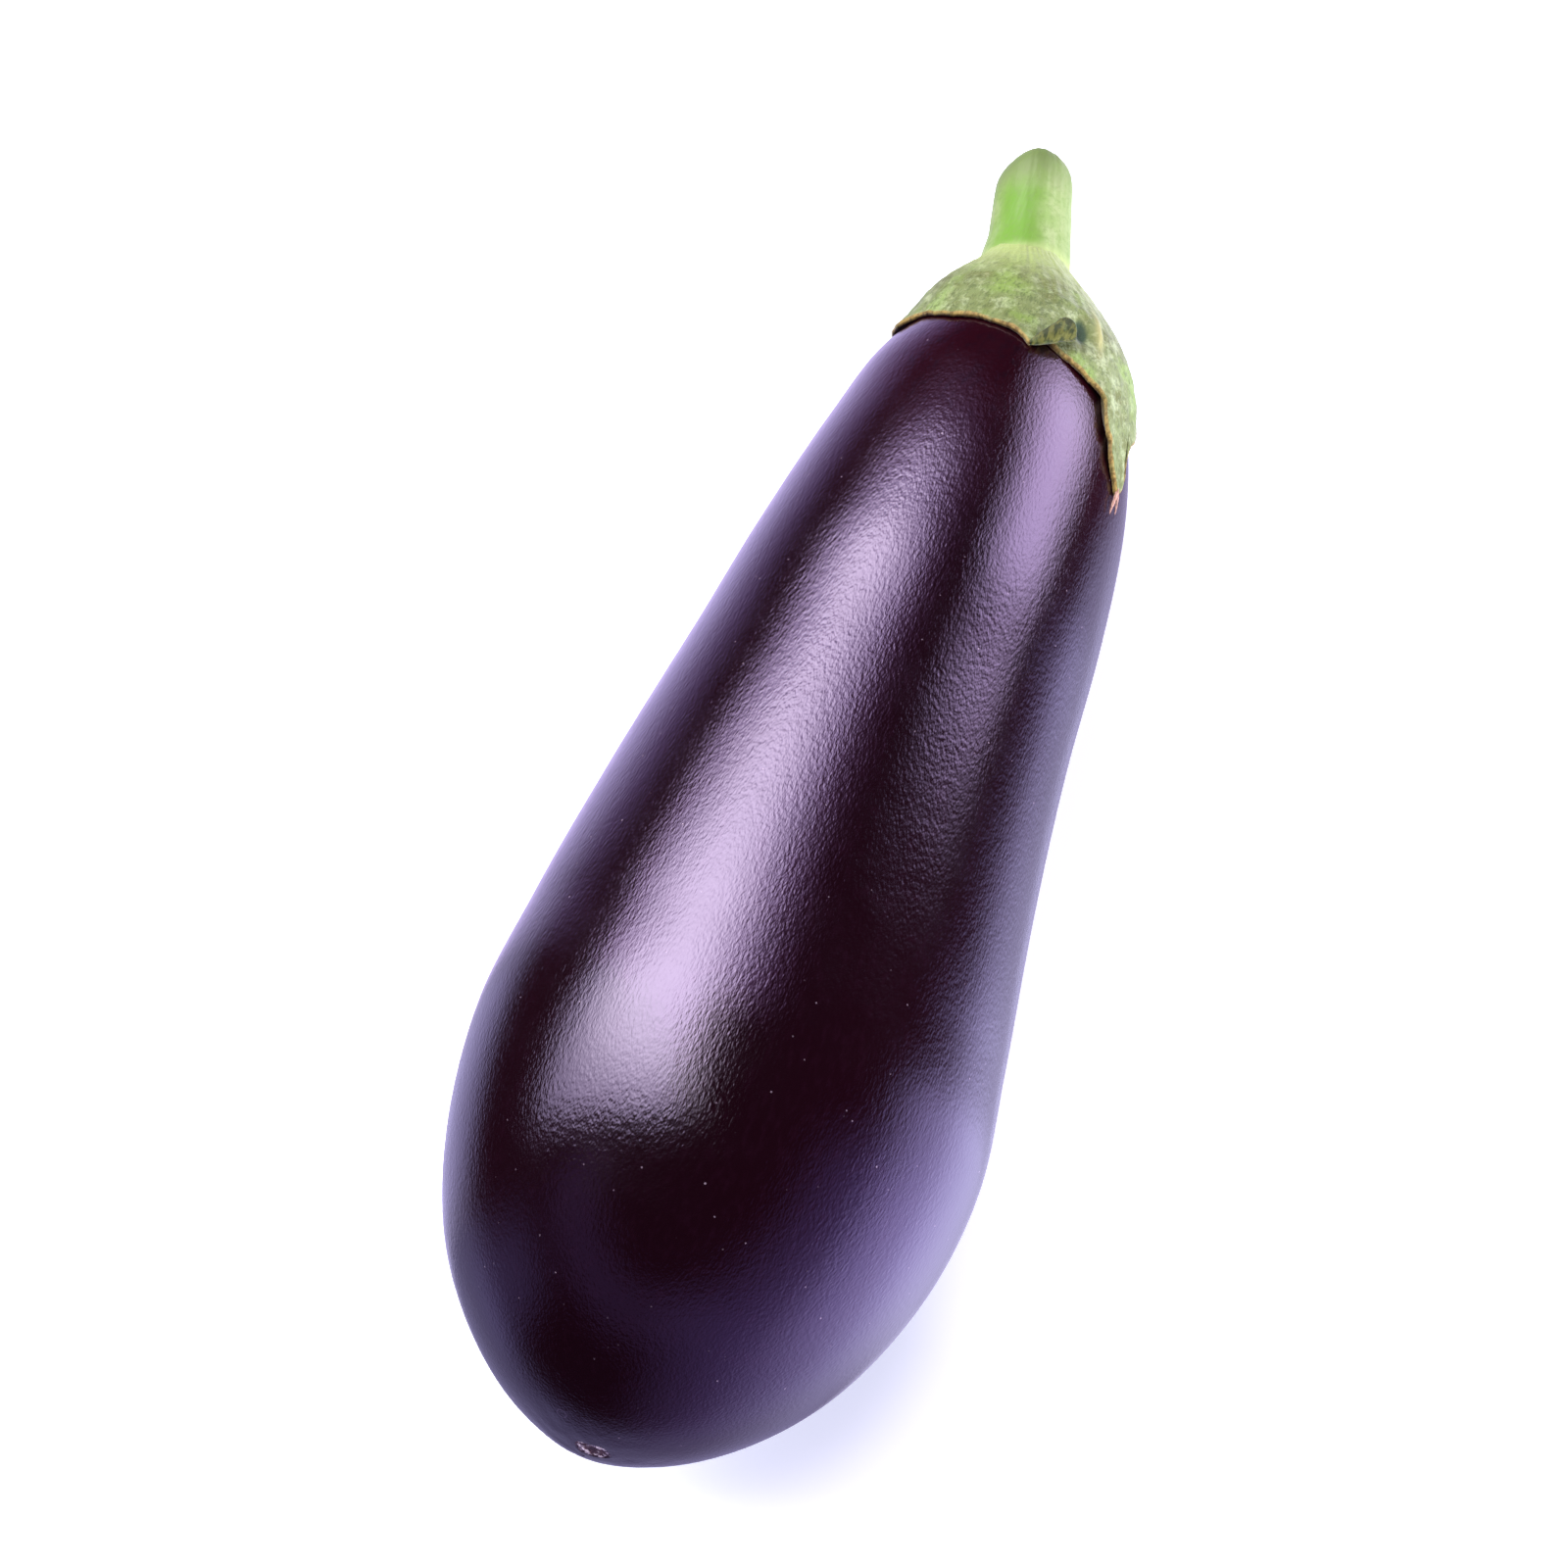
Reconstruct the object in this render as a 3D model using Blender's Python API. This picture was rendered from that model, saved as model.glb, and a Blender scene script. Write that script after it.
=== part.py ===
"""A whole eggplant lying on its side: the fruit, the green calyx over its shoulder and the cut stem.

Everything is modelled in the fruit's own frame first: the origin is the blossom end, +Y runs along
the fruit towards the stem, +Z is the side that ends up on top and +X the right-hand side. An empty
then tips the whole fruit, so that its long flank lies on the ground plane Z = 0.
Units are metres, +Z is up.
"""

from math import atan2, cos, pi, radians, sin, tau

import bmesh
import bpy
from mathutils import Matrix, Vector

# The outline of the fruit, from the blossom end to the top of the shoulder: distance along the
# axis, radius. A smooth curve runs through these points.
FRUIT_OUTLINE = (
    (0.0000, 0.0000),
    (0.0034, 0.0120),
    (0.0110, 0.0229),
    (0.0236, 0.0332),
    (0.0424, 0.0409),
    (0.0617, 0.0436),
    (0.0810, 0.0416),
    (0.1085, 0.0377),
    (0.1360, 0.0339),
    (0.1580, 0.0314),
    (0.1800, 0.0277),
    (0.1940, 0.0236),
    (0.2040, 0.0190),
    (0.2110, 0.0132),
    (0.2146, 0.0068),
    (0.2156, 0.0000),
)
OVAL_SHARE = 0.010        # how much wider the section is across its wide side than a circle
OVAL_TURN = radians(35)   # where round the fruit that wide side lies
BOW_DEPTH = 0.0008        # the fruit isn't quite straight: its middle line bows towards -X
BOW_STATION = 0.112       # where along the axis it bows most
BOW_LENGTH = 0.150        # the length of one bow and its two returns
BOW_OFFSET = 0.6          # the share of the bow that the ends keep
FLANK_SLOPE = radians(7.6)  # the tip towards the neck that lays the long flank on the ground
FLAT_DEPTH = 0.0008       # how much the soft flesh gives where it rests

# The calyx: a fleshy collar round the stem, thinning into pointed sepals that hug the shoulder.
RIM_STATION = 0.2022      # where the calyx edge runs between two sepals, along the axis
SEPALS = (                # direction round the fruit from the top, length past the rim, half width
    (radians(8), 0.0010, radians(34)),
    (radians(72), 0.0195, radians(40)),
    (radians(149), 0.0110, radians(38)),
    (radians(221), 0.0095, radians(38)),
    (radians(288), 0.0040, radians(36)),
)
SEPAL_POINT = 2.2         # over 1: the sepal's sides are hollow and its tip is sharp
SEPAL_THICKNESS = 0.0016
COLLAR_RADIUS = 0.0080
FLARE_DROP = 0.0012       # how the flare leaves the collar: down along the stem
FLARE_SPREAD = 0.0030     # and outwards
FLARE_REACH = 0.0100      # how it meets the shoulder: that far up from the rim
FLARE_BULGE = 0.0031      # and that proud of the sepals' own thickness
SKIN_GAP = 0.0003         # between pieces that touch

# The stem, cut off short and at a slant.
STEM_BASE = Vector((-0.0040, 0.2218, 0.0000))
STEM_LEAN = radians(14.5)  # towards -X
STEM_DROOP = radians(3.0)  # towards -Z
STEM_LENGTH = 0.0182      # along its middle
STEM_RADII = (0.0073, 0.0069, 0.0062)  # at the base, half way and at the cut
CUT_SLANT = radians(26)   # the cut faces the ground side

CUT_ROUNDING = 0.0009     # of the edge round the cut

# How finely each piece is made.
CURVE_STEPS = 24          # between two points of the fruit's outline
FRUIT_SEGMENTS, FRUIT_RINGS = 56, 44
CALYX_SEGMENTS, CALYX_RINGS = 60, 22
COLLAR_SHARE = 0.20       # of the rings over the calyx: those under the stem
FLARE_SHARE = 0.78        # and those down to the rim, before the sepals' own
STEM_RESOLUTION = 7       # bevel resolution of the stem's curve
MERGE = 1e-6              # closer points are one
SHARP_ANGLE = radians(50)

SKIN_COLOUR = (0.020, 0.005, 0.016)
CALYX_COLOUR = (0.270, 0.370, 0.130)
STEM_COLOUR = (0.300, 0.520, 0.140)


def clear_scene():
    for obj in list(bpy.data.objects):
        bpy.data.objects.remove(obj)


def material(name, colour, roughness):
    made = bpy.data.materials.new(name)
    made.use_nodes = True
    shader = made.node_tree.nodes["Principled BSDF"]
    shader.inputs["Base Color"].default_value = (*colour, 1.0)
    shader.inputs["Roughness"].default_value = roughness
    shader.inputs["Metallic"].default_value = 0.0
    made.diffuse_color = (*colour, 1.0)
    return made


def smooth_curve(points, steps):
    """Points on a centripetal Catmull-Rom curve that crosses the axis squarely at both ends."""
    pts = [Vector(p) for p in points]
    pts.insert(0, Vector((pts[1].x, -pts[1].y)))
    pts.append(Vector((pts[-2].x, -pts[-2].y)))
    made = []
    for a, b, c, d in zip(pts, pts[1:], pts[2:], pts[3:]):
        t1 = (b - a).length ** 0.5
        t2 = t1 + (c - b).length ** 0.5
        t3 = t2 + (d - c).length ** 0.5
        for step in range(steps):
            t = t1 + (t2 - t1) * step / steps
            ab = a.lerp(b, t / t1)
            bc = b.lerp(c, (t - t1) / (t2 - t1))
            cd = c.lerp(d, (t - t2) / (t3 - t2))
            abc = ab.lerp(bc, t / t2)
            bcd = bc.lerp(cd, (t - t1) / (t3 - t1))
            made.append(abc.lerp(bcd, (t - t1) / (t2 - t1)))
    made.append(pts[-2])
    return made


class Outline:
    """The fruit's outline, measured by the distance walked along it from the blossom end."""

    def __init__(self, points):
        self.points = smooth_curve(points, CURVE_STEPS)
        self.walked = [0.0]
        for a, b in zip(self.points, self.points[1:]):
            self.walked.append(self.walked[-1] + (b - a).length)
        self.length = self.walked[-1]

    def at(self, distance):
        """(distance along the axis, radius) after that distance along the outline."""
        last = len(self.points) - 2
        i = 0
        while i < last and self.walked[i + 1] < distance:
            i += 1
        share = (distance - self.walked[i]) / (self.walked[i + 1] - self.walked[i])
        return self.points[i].lerp(self.points[i + 1], min(max(share, 0.0), 1.0))

    def outward(self, distance):
        """The outward direction there, as (along the axis, away from it)."""
        step = 0.0008
        run = self.at(min(distance + step, self.length)) - self.at(max(distance - step, 0.0))
        return Vector((-run.y, run.x)).normalized()

    def reaching(self, station):
        """The distance along the outline at which it passes that station on the axis."""
        i = next(i for i, p in enumerate(self.points) if p.x >= station)
        a, b = self.points[i - 1], self.points[i]
        return self.walked[i - 1] + (b - a).length * (station - a.x) / (b.x - a.x)


def section_scale(angle):
    """The section is a slight oval: this is its radius in that direction, as a share."""
    return 1.0 + OVAL_SHARE * cos(2.0 * (angle - OVAL_TURN))


def bow(along):
    """How far the fruit's middle line lies off its axis there, towards +X."""
    return -BOW_DEPTH * (BOW_OFFSET + cos(tau * (along - BOW_STATION) / BOW_LENGTH))


def fruit_point(outline, distance, angle, proud=0.0):
    """A point on the fruit's skin, or that far proud of it. Angle 0 is the top, 90 degrees is +X."""
    along, radius = outline.at(distance)
    lift = outline.outward(distance) * proud
    radius = radius * section_scale(angle) + lift.y
    return Vector((bow(along) + radius * sin(angle), along + lift.x, radius * cos(angle)))


def sphere_rings(bm, segments, rings):
    """A sphere's vertices with their ring (0 at the top pole) and their angle round +Z."""
    bmesh.ops.create_uvsphere(bm, u_segments=segments, v_segments=rings, radius=1.0)
    placed = []
    for vert in bm.verts:
        tilt = atan2(Vector((vert.co.x, vert.co.y)).length, vert.co.z)
        placed.append((vert, round(tilt / pi * rings), atan2(vert.co.x, vert.co.y) % tau))
    return placed


def add_object(name, bm, colour, roughness, collection, parent):
    bmesh.ops.recalc_face_normals(bm, faces=bm.faces)
    mesh = bpy.data.meshes.new(name)
    bm.to_mesh(mesh)
    bm.free()
    mesh.shade_smooth()
    mesh.set_sharp_from_angle(angle=SHARP_ANGLE)
    mesh.materials.append(material(name, colour, roughness))
    obj = bpy.data.objects.new(name, mesh)
    collection.objects.link(obj)
    obj.parent = parent
    return obj


def ground_in_fruit_frame():
    """The direction of the ground, seen from the fruit's own frame."""
    return Matrix.Rotation(FLANK_SLOPE, 3, "X") @ Vector((0.0, 0.0, -1.0))


def make_fruit(outline, collection, parent):
    """One solid of revolution, slightly oval, with a flat where its flank lies on the ground."""
    bm = bmesh.new()
    for vert, ring, angle in sphere_rings(bm, FRUIT_SEGMENTS, FRUIT_RINGS):
        vert.co = fruit_point(outline, outline.length * ring / FRUIT_RINGS, angle)
    down = ground_in_fruit_frame()
    lowest = max(bm.verts, key=lambda vert: vert.co.dot(down)).co
    cut = bmesh.ops.bisect_plane(
        bm,
        geom=bm.verts[:] + bm.edges[:] + bm.faces[:],
        dist=MERGE,
        plane_co=lowest - down * FLAT_DEPTH,
        plane_no=down,
        clear_outer=True,
    )
    rim = [item for item in cut["geom_cut"] if isinstance(item, bmesh.types.BMEdge)]
    bmesh.ops.edgenet_fill(bm, edges=rim)
    return add_object("fruit", bm, SKIN_COLOUR, 0.18, collection, parent)


def sepal_reach(angle):
    """How far the calyx edge reaches past its rim in that direction."""
    reach = 0.0
    for middle, length, half_width in SEPALS:
        away = abs((angle - middle + pi) % tau - pi) / half_width
        reach = max(reach, length * max(0.0, 1.0 - away) ** SEPAL_POINT)
    return reach


def stem_axis():
    """The stem's direction, and two directions across it: towards +X and towards +Z."""
    along = Vector((-sin(STEM_LEAN), cos(STEM_LEAN) * cos(STEM_DROOP), -sin(STEM_DROOP))).normalized()
    right = Vector((1.0, 0.0, 0.0))
    right = (right - along * right.dot(along)).normalized()
    return along, right, right.cross(along)


def bezier(a, b, c, d, t):
    return a * (1 - t) ** 3 + b * 3 * t * (1 - t) ** 2 + c * 3 * t * t * (1 - t) + d * t**3


def calyx_outside(outline, angle, t):
    """The outer surface, from the middle under the stem (t = 0) to the sepals' edge (t = 1)."""
    along, right, up = stem_axis()
    across = right * sin(angle) + up * cos(angle)
    if t <= COLLAR_SHARE:
        return STEM_BASE + across * COLLAR_RADIUS * t / COLLAR_SHARE
    edge = outline.reaching(RIM_STATION - sepal_reach(angle))
    shoulder = outline.reaching(RIM_STATION)
    knee = fruit_point(outline, shoulder, angle, SEPAL_THICKNESS)
    if t < FLARE_SHARE:
        start = STEM_BASE + across * COLLAR_RADIUS
        handle = start - along * FLARE_DROP + across * FLARE_SPREAD
        tangent = fruit_point(outline, shoulder + FLARE_REACH, angle, SEPAL_THICKNESS + FLARE_BULGE)
        share = (t - COLLAR_SHARE) / (FLARE_SHARE - COLLAR_SHARE)
        return bezier(start, handle, tangent, knee, share)
    walked = shoulder + (edge - shoulder) * (t - FLARE_SHARE) / (1.0 - FLARE_SHARE)
    return fruit_point(outline, walked, angle, SEPAL_THICKNESS)


def make_calyx(outline, collection, parent):
    """One closed cap: its outer side is the flare and the sepals, its inner side hugs the fruit."""
    bm = bmesh.new()
    half = CALYX_RINGS // 2
    for vert, ring, angle in sphere_rings(bm, CALYX_SEGMENTS, CALYX_RINGS):
        edge = outline.reaching(RIM_STATION - sepal_reach(angle))
        if ring < half:
            vert.co = calyx_outside(outline, angle, ring / (half - 1))
        elif ring == half:
            vert.co = fruit_point(outline, edge - SEPAL_THICKNESS / 2, angle, SEPAL_THICKNESS * 0.6)
        else:
            share = (ring - half - 1) / (half - 1)
            walked = edge + (outline.length - edge) * share
            vert.co = fruit_point(outline, walked, angle, SKIN_GAP)
    return add_object("calyx", bm, CALYX_COLOUR, 0.60, collection, parent)


def make_stem(collection, parent):
    """A tapering stalk that stands square on the collar and ends in a slanted cut."""
    along, right, up = stem_axis()
    curve = bpy.data.curves.new("stem_path", "CURVE")
    curve.dimensions = "3D"
    curve.bevel_depth = 1.0
    curve.bevel_resolution = STEM_RESOLUTION
    curve.use_fill_caps = True
    path = curve.splines.new("POLY")
    overrun = STEM_RADII[0] * 0.6
    stations = (SKIN_GAP, STEM_LENGTH / 2, STEM_LENGTH + overrun)
    path.points.add(len(stations) - 1)
    for point, station, radius in zip(path.points, stations, STEM_RADII):
        point.co = (*(STEM_BASE + along * station), 1.0)
        point.radius = radius
    guide = bpy.data.objects.new("stem_path", curve)
    collection.objects.link(guide)
    graph = bpy.context.evaluated_depsgraph_get()
    mesh = bpy.data.meshes.new_from_object(guide.evaluated_get(graph))
    bm = bmesh.new()
    bm.from_mesh(mesh)
    bpy.data.meshes.remove(mesh)
    bpy.data.objects.remove(guide)
    bmesh.ops.remove_doubles(bm, verts=bm.verts, dist=MERGE)
    cut = bmesh.ops.bisect_plane(
        bm,
        geom=bm.verts[:] + bm.edges[:] + bm.faces[:],
        dist=MERGE / 10,
        plane_co=STEM_BASE + along * STEM_LENGTH,
        plane_no=along * cos(CUT_SLANT) - up * sin(CUT_SLANT),
        clear_outer=True,
    )
    rim = [item for item in cut["geom_cut"] if isinstance(item, bmesh.types.BMEdge)]
    bmesh.ops.edgenet_fill(bm, edges=rim)
    bmesh.ops.bevel(
        bm,
        geom=[edge for edge in bm.edges if edge.is_valid and edge in rim],
        offset=CUT_ROUNDING,
        segments=2,
        profile=0.5,
        affect="EDGES",
        material=-1,
    )
    return add_object("stem", bm, STEM_COLOUR, 0.55, collection, parent)


def lay_down(pose, pieces):
    """Tips the fruit onto its flank and puts the origin at the middle of the ground it covers."""
    pose.rotation_euler = (-FLANK_SLOPE, 0.0, 0.0)
    turn = pose.rotation_euler.to_matrix()
    placed = [turn @ vert.co for piece in pieces for vert in piece.data.vertices]
    low = [min(point[axis] for point in placed) for axis in range(3)]
    high = [max(point[axis] for point in placed) for axis in range(3)]
    pose.location = (-(low[0] + high[0]) / 2, -(low[1] + high[1]) / 2, -low[2])


def main():
    clear_scene()
    collection = bpy.data.collections.new("eggplant")
    bpy.context.scene.collection.children.link(collection)
    pose = bpy.data.objects.new("eggplant_pose", None)
    collection.objects.link(pose)
    outline = Outline(FRUIT_OUTLINE)
    pieces = [
        make_fruit(outline, collection, pose),
        make_calyx(outline, collection, pose),
        make_stem(collection, pose),
    ]
    lay_down(pose, pieces)


main()
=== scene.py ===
"""The looks of a whole eggplant that lies on its flank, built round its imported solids.

The file is laid out as a Blender add-on: an operator for each piece and one for the stage, their sizes
and colours as properties, and a sidebar panel that lists them. Run as a script, it makes everything.

Shapes are worked out in the fruit's own frame: the origin is the blossom end, +Y runs along the fruit
to the stem, +Z is the side that ends up on top. "Round" is the angle round the fruit from the top
towards +X. Units are metres, +Z is up.
"""

from bisect import bisect_right
from math import cos, exp, hypot, pi, radians, sin, sqrt, tan, tau

import bmesh
import bpy
from bpy.props import FloatProperty, FloatVectorProperty, PointerProperty
from mathutils import Matrix, Vector, noise


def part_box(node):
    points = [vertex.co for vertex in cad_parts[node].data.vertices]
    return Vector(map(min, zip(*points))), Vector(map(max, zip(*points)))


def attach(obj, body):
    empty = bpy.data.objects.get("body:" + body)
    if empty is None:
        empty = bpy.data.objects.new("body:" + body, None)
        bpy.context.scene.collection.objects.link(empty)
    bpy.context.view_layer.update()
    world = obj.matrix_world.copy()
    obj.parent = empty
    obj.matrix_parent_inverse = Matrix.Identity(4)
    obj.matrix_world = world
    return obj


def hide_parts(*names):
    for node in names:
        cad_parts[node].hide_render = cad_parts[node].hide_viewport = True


bl_info = {
    "name": "Eggplant",
    "version": (1, 0, 0),
    "blender": (4, 5, 0),
    "location": "View3D > Sidebar > Eggplant",
    "description": "Builds a whole eggplant with its calyx and cut stem, and a plain studio round it",
    "category": "Add Mesh",
}

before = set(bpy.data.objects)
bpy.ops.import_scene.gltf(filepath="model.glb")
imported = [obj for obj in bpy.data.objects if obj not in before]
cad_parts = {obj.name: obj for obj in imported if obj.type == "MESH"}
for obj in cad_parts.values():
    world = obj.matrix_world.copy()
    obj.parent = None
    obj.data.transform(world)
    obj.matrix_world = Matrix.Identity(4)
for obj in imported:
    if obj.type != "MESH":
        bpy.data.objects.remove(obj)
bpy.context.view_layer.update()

MM = 0.001
BODY = "root"

# The fruit's outline, from the blossom end to the top of the shoulder: along the axis, radius.
FRUIT_OUTLINE = (
    (0.0000, 0.0000), (0.0034, 0.0120), (0.0110, 0.0229), (0.0236, 0.0332),
    (0.0424, 0.0409), (0.0617, 0.0436), (0.0810, 0.0416), (0.1085, 0.0377),
    (0.1360, 0.0339), (0.1580, 0.0314), (0.1800, 0.0277), (0.1940, 0.0236),
    (0.2040, 0.0190), (0.2110, 0.0132), (0.2146, 0.0068), (0.2156, 0.0000),
)
CURVE_STEPS = 24            # between two points of the outline
OVAL_SHARE = 0.010          # the section is a slight oval
OVAL_TURN = radians(35)
BOW_DEPTH = 0.0008          # the middle line bows a little towards -X
BOW_STATION = 0.112
BOW_LENGTH = 0.150
BOW_OFFSET = 0.6
FLANK_SLOPE = radians(7.6)  # the tip towards the neck that lays the long flank on the ground
LAY = Matrix.Rotation(-FLANK_SLOPE, 3, "X")

# Where the flesh is a little fuller: station, way round, reach along, height.
SWELLS = ((0.195, radians(-86), 0.009, 0.0009), (0.026, radians(-90), 0.020, 0.0006))

SKIN_SEGMENTS = 288
BLOSSOM_REACH = 0.008       # the rows are closer together over this stretch, for the scar
BLOSSOM_ROWS = 26
BODY_ROWS = 186
FLESH_GIVE = 0.00025        # how softly the flesh gives where it meets the ground
MERGE = 1e-6

SCAR_MIDDLE = Vector((0.0009, 0.0037))  # off the pole, across (+X) and up (+Z)
RING_PLACE = (-25.2, 3.4)   # a faint ring and a healed nick: way round (degrees), station (mm)
RING_RADIUS = 0.00085
NICK_PLACE = (-82.2, 4.4)

MOTTLE = (0.0062, 0.0010, 0.0028)
PORE = (0.26, 0.20, 0.26)
FLECK = (0.15, 0.11, 0.15)
RING = (0.13, 0.10, 0.17)
NICK = (0.19, 0.13, 0.15)
CORK = (0.020, 0.008, 0.010)
CORK_RAISED = (0.085, 0.040, 0.040)
CRUST = (0.52, 0.44, 0.50)

STEM_BASE = Vector((-0.0044, 0.2218, 0.0))
STEM_LEAN = radians(14.5)
STEM_DROOP = radians(3.0)
STEM_LENGTH = 0.0207
CUT_SLANT = radians(36)

# The calyx's margin, going round the fruit: round (degrees), along (mm), how far the edge stands off
# the skin (mm). Sepal tips and the bays between them alternate.
MARGIN = (
    (-72, 199.6, 1.2), (-67, 200.0, 1.1), (-63.5, 200.4, 1.0), (-59, 200.8, 0.9), (-52, 200.8, 0.9),
    (-45, 200.3, 0.9), (-36.6, 199.9, 1.0), (-24, 200.3, 1.0), (-14, 199.7, 1.0), (-4.7, 199.2, 1.1),
    (0.6, 198.4, 1.1), (4.6, 197.1, 1.0), (8.0, 199.2, 0.9), (13.5, 198.9, 0.9), (20, 198.0, 0.9),
    (27, 196.9, 1.1), (33, 196.0, 1.3), (39, 195.0, 1.5), (42.6, 193.7, 1.7), (43.6, 191.0, 1.7),
    (45.6, 188.4, 1.6), (48.6, 187.4, 1.4), (49.2, 185.6, 1.3), (52.0, 183.6, 1.1), (55.6, 181.9, 0.9),
    (58.8, 180.2, 0.8), (61.8, 182.3, 0.9), (61.8, 184.7, 1.1), (61.0, 187.2, 1.3), (63.0, 190.1, 1.5),
    (67.5, 192.2, 1.7), (75, 195.4, 1.6), (84, 198.6, 1.3), (94, 199.3, 1.2), (104, 201.8, 1.2),
    (120, 198.6, 1.2), (136, 194.0, 1.2), (148, 190.6, 1.1), (156, 194.2, 1.2), (168, 199.6, 1.3),
    (184, 201.9, 1.3), (200, 199.4, 1.3), (212, 195.0, 1.2), (221, 191.8, 1.1), (231, 195.6, 1.2),
    (246, 200.2, 1.3), (262, 201.6, 1.1), (276, 199.9, 1.1),
)


# -------- shapes shared by the pieces


def smooth_curve(points, steps):
    """Points on a centripetal Catmull-Rom curve that crosses the axis squarely at both ends."""
    pts = [Vector(p) for p in points]
    pts.insert(0, Vector((pts[1].x, -pts[1].y)))
    pts.append(Vector((pts[-2].x, -pts[-2].y)))
    made = []
    for a, b, c, d in zip(pts, pts[1:], pts[2:], pts[3:]):
        t1 = (b - a).length ** 0.5
        t2 = t1 + (c - b).length ** 0.5
        t3 = t2 + (d - c).length ** 0.5
        for step in range(steps):
            t = t1 + (t2 - t1) * step / steps
            ab = a.lerp(b, t / t1)
            bc = b.lerp(c, (t - t1) / (t2 - t1))
            cd = c.lerp(d, (t - t2) / (t3 - t2))
            abc = ab.lerp(bc, t / t2)
            bcd = bc.lerp(cd, (t - t1) / (t3 - t1))
            made.append(abc.lerp(bcd, (t - t1) / (t2 - t1)))
    made.append(pts[-2])
    return made


def point_after(points, walked, distance):
    """The point after that distance along a line, by the distance walked to each of its points."""
    low = min(max(bisect_right(walked, distance) - 1, 0), len(points) - 2)
    share = (distance - walked[low]) / (walked[low + 1] - walked[low])
    return points[low].lerp(points[low + 1], min(max(share, 0.0), 1.0))


class Outline:
    """The fruit's outline, measured by the distance walked along it from the blossom end."""

    def __init__(self, points):
        self.points = smooth_curve(points, CURVE_STEPS)
        self.walked = [0.0]
        for a, b in zip(self.points, self.points[1:]):
            self.walked.append(self.walked[-1] + (b - a).length)
        self.length = self.walked[-1]
        self.known = {}

    def at(self, distance):
        """(distance along the axis, radius) after that distance along the outline."""
        return point_after(self.points, self.walked, distance)

    def facing(self, distance):
        """That point and the outward direction there, each as (along the axis, away from it)."""
        if distance not in self.known:
            step = 0.0008
            run = self.at(min(distance + step, self.length)) - self.at(max(distance - step, 0.0))
            self.known[distance] = self.at(distance), Vector((-run.y, run.x)).normalized()
        return self.known[distance]

    def reaching(self, station):
        """The distance along the outline at which it passes that station on the axis."""
        i = bisect_right(self.points, station, key=lambda point: point.x)
        a, b = self.points[i - 1], self.points[i]
        return self.walked[i - 1] + (b - a).length * (station - a.x) / (b.x - a.x)


OUTLINE = Outline(FRUIT_OUTLINE)


def bow(along):
    return -BOW_DEPTH * (BOW_OFFSET + cos(tau * (along - BOW_STATION) / BOW_LENGTH))


def fullness(station, turn):
    """How far the flesh is fuller there than the outline."""
    return sum(height * exp(-((station - middle) / reach) ** 2) * max(0.0, cos(turn - way)) ** 2
               for middle, way, reach, height in SWELLS)


def skin_point(walked, turn, proud=0.0):
    """A point on the fruit's skin, or that far proud of it, in the fruit's own frame."""
    (along, radius), outward = OUTLINE.facing(walked)
    proud += fullness(along, turn)
    radius = radius * (1.0 + OVAL_SHARE * cos(2.0 * (turn - OVAL_TURN))) + outward.y * proud
    along += outward.x * proud
    return Vector((bow(along) + radius * sin(turn), along, radius * cos(turn)))


def skin_place(turn, station, proud=0.0):
    """The same, by the way round in degrees, the station and the lift in mm."""
    return skin_point(OUTLINE.reaching(station * MM), radians(turn), proud * MM)


def fruit_place():
    """Where the fruit's own origin goes, so that its skin fills the box of its solid."""
    low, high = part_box("fruit")
    turned = [
        LAY @ skin_point(OUTLINE.walked[i], turn * tau / 72)
        for i in range(0, len(OUTLINE.points), 3)
        for turn in range(72)
    ]
    return Vector((
        (low.x + high.x - max(p.x for p in turned) - min(p.x for p in turned)) / 2,
        (low.y + high.y - max(p.y for p in turned) - min(p.y for p in turned)) / 2,
        high.z - max(p.z for p in turned),
    ))


PLACE = fruit_place()


def laid(point):
    """From the fruit's own frame to the part's."""
    return LAY @ point + PLACE


def smoothstep(low, high, value):
    share = min(max((value - low) / (high - low), 0.0), 1.0)
    return share * share * (3.0 - 2.0 * share)


def between(a, b, share):
    return a + (b - a) * share


def noise_at(x, y, z, scale=1.0):
    return noise.noise(Vector((x, y, z)) * scale)


def stem_axis():
    """The stem's direction, and two directions across it: towards +X and towards +Z."""
    along = Vector((-sin(STEM_LEAN), cos(STEM_LEAN) * cos(STEM_DROOP), -sin(STEM_DROOP))).normalized()
    right = Vector((1.0, 0.0, 0.0))
    right = (right - along * right.dot(along)).normalized()
    return along, right, right.cross(along)


def bezier(a, b, c, d, t):
    return a * (1 - t) ** 3 + b * 3 * t * (1 - t) ** 2 + c * 3 * t * t * (1 - t) + d * t**3


def mapped_grid(bm, across, along, place):
    """A sheet of that many faces: place(vertex, u, v) says where each vertex goes, by its two shares."""
    made = bmesh.ops.create_grid(bm, x_segments=across, y_segments=along, size=1.0)
    for vert in made["verts"]:
        u = round((vert.co.x + 1.0) / 2.0 * across) / across
        v = round((vert.co.y + 1.0) / 2.0 * along) / along
        vert.co = laid(place(vert, u, v))


def add_object(name, data):
    obj = bpy.data.objects.new(name, data)
    bpy.context.scene.collection.objects.link(obj)
    return obj


def add_mesh(name, bm, material):
    mesh = bpy.data.meshes.new(name)
    bm.to_mesh(mesh)
    bm.free()
    mesh.materials.append(material)
    return add_object(name, mesh)


def finish_piece(name, bm, material, node):
    """Closes the seams, makes the object, and lets it stand for its CAD node."""
    bmesh.ops.remove_doubles(bm, verts=bm.verts, dist=MERGE)
    bmesh.ops.recalc_face_normals(bm, faces=bm.faces)
    obj = add_mesh(name, bm, material)
    obj.data.shade_smooth()
    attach(obj, BODY)
    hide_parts(node)


# -------- materials


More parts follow.
